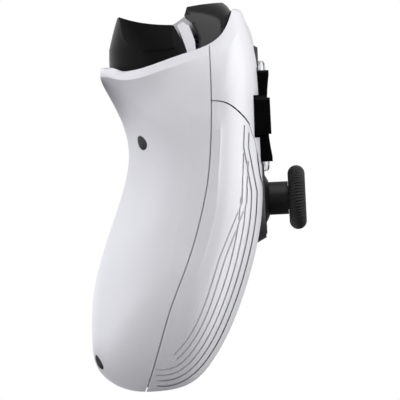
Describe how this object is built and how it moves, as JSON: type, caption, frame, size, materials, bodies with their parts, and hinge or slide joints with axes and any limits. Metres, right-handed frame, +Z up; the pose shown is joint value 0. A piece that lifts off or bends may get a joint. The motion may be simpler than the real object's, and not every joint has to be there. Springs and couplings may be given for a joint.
{
  "type": "gamepad",
  "caption": "Two-handled gamepad with thumb sticks, a cross pad, face and menu buttons, bumpers and pivoting triggers, a data socket and a headset socket.",
  "frame": {"origin": "on the surface that the pad lies on, under the middle of its bounding box", "axes": "+X to the side of the face buttons, +Y towards the triggers and bumpers, +Z up, out of the face that carries the sticks"},
  "size_m": [0.151, 0.1077, 0.058],
  "materials": {
    "white_shell": "glossy moulded white plastic, very fine orange peel",
    "white_frame": "satin white plastic",
    "dark_panel": "matt dark grey plastic",
    "black_satin": "satin black plastic",
    "black_gloss": "gloss black plastic",
    "clear_cap": "clear polished plastic",
    "button_core": "pale plastic under the clear cap",
    "black_rubber": "matt moulded rubber with a knurled rim",
    "grey_rubber": "silicone sheet",
    "board": "green solder mask",
    "steel": "plated steel",
    "weight_metal": "sintered metal",
    "inner_plastic": "moulded plastic",
    "cell_wrap": "foil wrap"
  },
  "bodies": {
    "casing": {"rear_shell": "white_shell", "front_shell": "white_shell", "left_grip_panel": "white_shell", "right_grip_panel": "white_shell", "centre_panel": "dark_panel", "middle_frame": "white_frame", "main_board": "board", "board_screws": "steel", "case_screws": "steel", "battery": "cell_wrap", "usb_port": "steel", "audio_jack": "inner_plastic", "bumper_switches": "inner_plastic", "pad_membrane": "grey_rubber", "button_membrane": "grey_rubber", "menu_membrane": "grey_rubber", "pad_post": "inner_plastic", "left_stick_housing": "steel", "right_stick_housing": "steel", "left_stick_ring": "black_satin", "right_stick_ring": "black_satin", "left_trigger_pin": "steel", "right_trigger_pin": "steel", "left_bumper_pin": "steel", "right_bumper_pin": "steel", "left_rumble_motor": "steel", "right_rumble_motor": "steel", "left_trigger_spring": "steel", "right_trigger_spring": "steel"},
    "left_trigger": {"left_trigger": "black_satin"},
    "left_bumper": {"left_bumper": "black_gloss"},
    "left_stick_outer_yoke": {"left_stick_outer_yoke": "inner_plastic"},
    "left_stick_inner_yoke": {"left_stick_inner_yoke": "inner_plastic"},
    "left_stick": {"left_stick": "black_satin", "left_stick_cap": "black_rubber"},
    "left_rumble_weight": {"left_rumble_weight": "weight_metal"},
    "right_trigger": {"right_trigger": "black_satin"},
    "right_bumper": {"right_bumper": "black_gloss"},
    "right_stick_outer_yoke": {"right_stick_outer_yoke": "inner_plastic"},
    "right_stick_inner_yoke": {"right_stick_inner_yoke": "inner_plastic"},
    "right_stick": {"right_stick": "black_satin", "right_stick_cap": "black_rubber"},
    "right_rumble_weight": {"right_rumble_weight": "weight_metal"},
    "pad_rocker": {"pad_rocker": "black_satin"},
    "cross_pad": {"cross_pad": "black_satin"},
    "top_button": {"top_button_core": "button_core", "top_button_cap": "clear_cap"},
    "bottom_button": {"bottom_button_core": "button_core", "bottom_button_cap": "clear_cap"},
    "outer_button": {"outer_button_core": "button_core", "outer_button_cap": "clear_cap"},
    "inner_button": {"inner_button_core": "button_core", "inner_button_cap": "clear_cap"},
    "select_button": {"select_button": "black_gloss"},
    "start_button": {"start_button": "black_gloss"},
    "home_button": {"home_button": "black_gloss"},
    "profile_button": {"profile_button": "black_gloss"}
  },
  "joints": [
    {"name": "left_trigger_pull", "type": "hinge", "parent": "casing", "child": "left_trigger", "pos_m": [-0.044, 0.0371, 0.0193], "axis": [-1, 0, 0], "range_deg": [0, 13], "stiffness_Nm_per_rad": 0.05, "springref_deg": -6.88},
    {"name": "left_bumper_press", "type": "hinge", "parent": "casing", "child": "left_bumper", "pos_m": [-0.0256, 0.043, 0.029], "axis": [0, 0, 1], "range_deg": [0, 1.2], "stiffness_Nm_per_rad": 1, "springref_deg": -0.57},
    {"name": "left_stick_tilt_y", "type": "hinge", "parent": "casing", "child": "left_stick_outer_yoke", "pos_m": [-0.027, -0.0008, 0.03613], "axis": [1, 0, 0], "range_deg": [-14, 14], "stiffness_Nm_per_rad": 0.06},
    {"name": "left_stick_tilt_x", "type": "hinge", "parent": "left_stick_outer_yoke", "child": "left_stick_inner_yoke", "pos_m": [-0.027, -0.0008, 0.03613], "axis": [0, 0.9969, -0.0785], "range_deg": [-14, 14], "stiffness_Nm_per_rad": 0.06},
    {"name": "left_stick_click", "type": "slide", "parent": "left_stick_inner_yoke", "child": "left_stick", "axis": [0, -0.0785, -0.9969], "range_m": [0, 0.0004], "stiffness_N_per_m": 3000, "springref_m": -0.0003},
    {"name": "left_rumble_spin", "type": "hinge", "parent": "casing", "child": "left_rumble_weight", "pos_m": [-0.055, -0.027, 0.018], "axis": [-1, 0, 0], "continuous": true},
    {"name": "right_trigger_pull", "type": "hinge", "parent": "casing", "child": "right_trigger", "pos_m": [0.044, 0.0371, 0.0193], "axis": [-1, 0, 0], "range_deg": [0, 13], "stiffness_Nm_per_rad": 0.05, "springref_deg": -6.88},
    {"name": "right_bumper_press", "type": "hinge", "parent": "casing", "child": "right_bumper", "pos_m": [0.0256, 0.043, 0.029], "axis": [0, 0, -1], "range_deg": [0, 1.2], "stiffness_Nm_per_rad": 1, "springref_deg": -0.57},
    {"name": "right_stick_tilt_y", "type": "hinge", "parent": "casing", "child": "right_stick_outer_yoke", "pos_m": [0.027, -0.0008, 0.03613], "axis": [1, 0, 0], "range_deg": [-14, 14], "stiffness_Nm_per_rad": 0.06},
    {"name": "right_stick_tilt_x", "type": "hinge", "parent": "right_stick_outer_yoke", "child": "right_stick_inner_yoke", "pos_m": [0.027, -0.0008, 0.03613], "axis": [0, 0.9969, -0.0785], "range_deg": [-14, 14], "stiffness_Nm_per_rad": 0.06},
    {"name": "right_stick_click", "type": "slide", "parent": "right_stick_inner_yoke", "child": "right_stick", "axis": [0, -0.0785, -0.9969], "range_m": [0, 0.0004], "stiffness_N_per_m": 3000, "springref_m": -0.0003},
    {"name": "right_rumble_spin", "type": "hinge", "parent": "casing", "child": "right_rumble_weight", "pos_m": [0.055, -0.027, 0.018], "axis": [1, 0, 0], "continuous": true},
    {"name": "pad_tilt_x", "type": "hinge", "parent": "casing", "child": "pad_rocker", "pos_m": [-0.05, 0.02214, 0.03954], "axis": [0, 0.9969, -0.0785], "range_deg": [-4.5, 4.5], "stiffness_Nm_per_rad": 0.1},
    {"name": "pad_tilt_y", "type": "hinge", "parent": "pad_rocker", "child": "cross_pad", "pos_m": [-0.05, 0.02214, 0.03954], "axis": [1, 0, 0], "range_deg": [-4.5, 4.5], "stiffness_Nm_per_rad": 0.1},
    {"name": "top_button_press", "type": "slide", "parent": "casing", "child": "top_button", "axis": [0, -0.0785, -0.9969], "range_m": [0, 0.0012], "stiffness_N_per_m": 500, "springref_m": -0.0004},
    {"name": "bottom_button_press", "type": "slide", "parent": "casing", "child": "bottom_button", "axis": [0, -0.0785, -0.9969], "range_m": [0, 0.0012], "stiffness_N_per_m": 500, "springref_m": -0.0004},
    {"name": "outer_button_press", "type": "slide", "parent": "casing", "child": "outer_button", "axis": [0, -0.0785, -0.9969], "range_m": [0, 0.0012], "stiffness_N_per_m": 500, "springref_m": -0.0004},
    {"name": "inner_button_press", "type": "slide", "parent": "casing", "child": "inner_button", "axis": [0, -0.0785, -0.9969], "range_m": [0, 0.0012], "stiffness_N_per_m": 500, "springref_m": -0.0004},
    {"name": "select_button_press", "type": "slide", "parent": "casing", "child": "select_button", "axis": [0, -0.0785, -0.9969], "range_m": [0, 0.0008], "stiffness_N_per_m": 600, "springref_m": -0.0003},
    {"name": "start_button_press", "type": "slide", "parent": "casing", "child": "start_button", "axis": [0, -0.0785, -0.9969], "range_m": [0, 0.0008], "stiffness_N_per_m": 600, "springref_m": -0.0003},
    {"name": "home_button_press", "type": "slide", "parent": "casing", "child": "home_button", "axis": [0, -0.0785, -0.9969], "range_m": [0, 0.0008], "stiffness_N_per_m": 600, "springref_m": -0.0003},
    {"name": "profile_button_press", "type": "slide", "parent": "casing", "child": "profile_button", "axis": [0, -0.0785, -0.9969], "range_m": [0, 0.0008], "stiffness_N_per_m": 600, "springref_m": -0.0003}
  ]
}
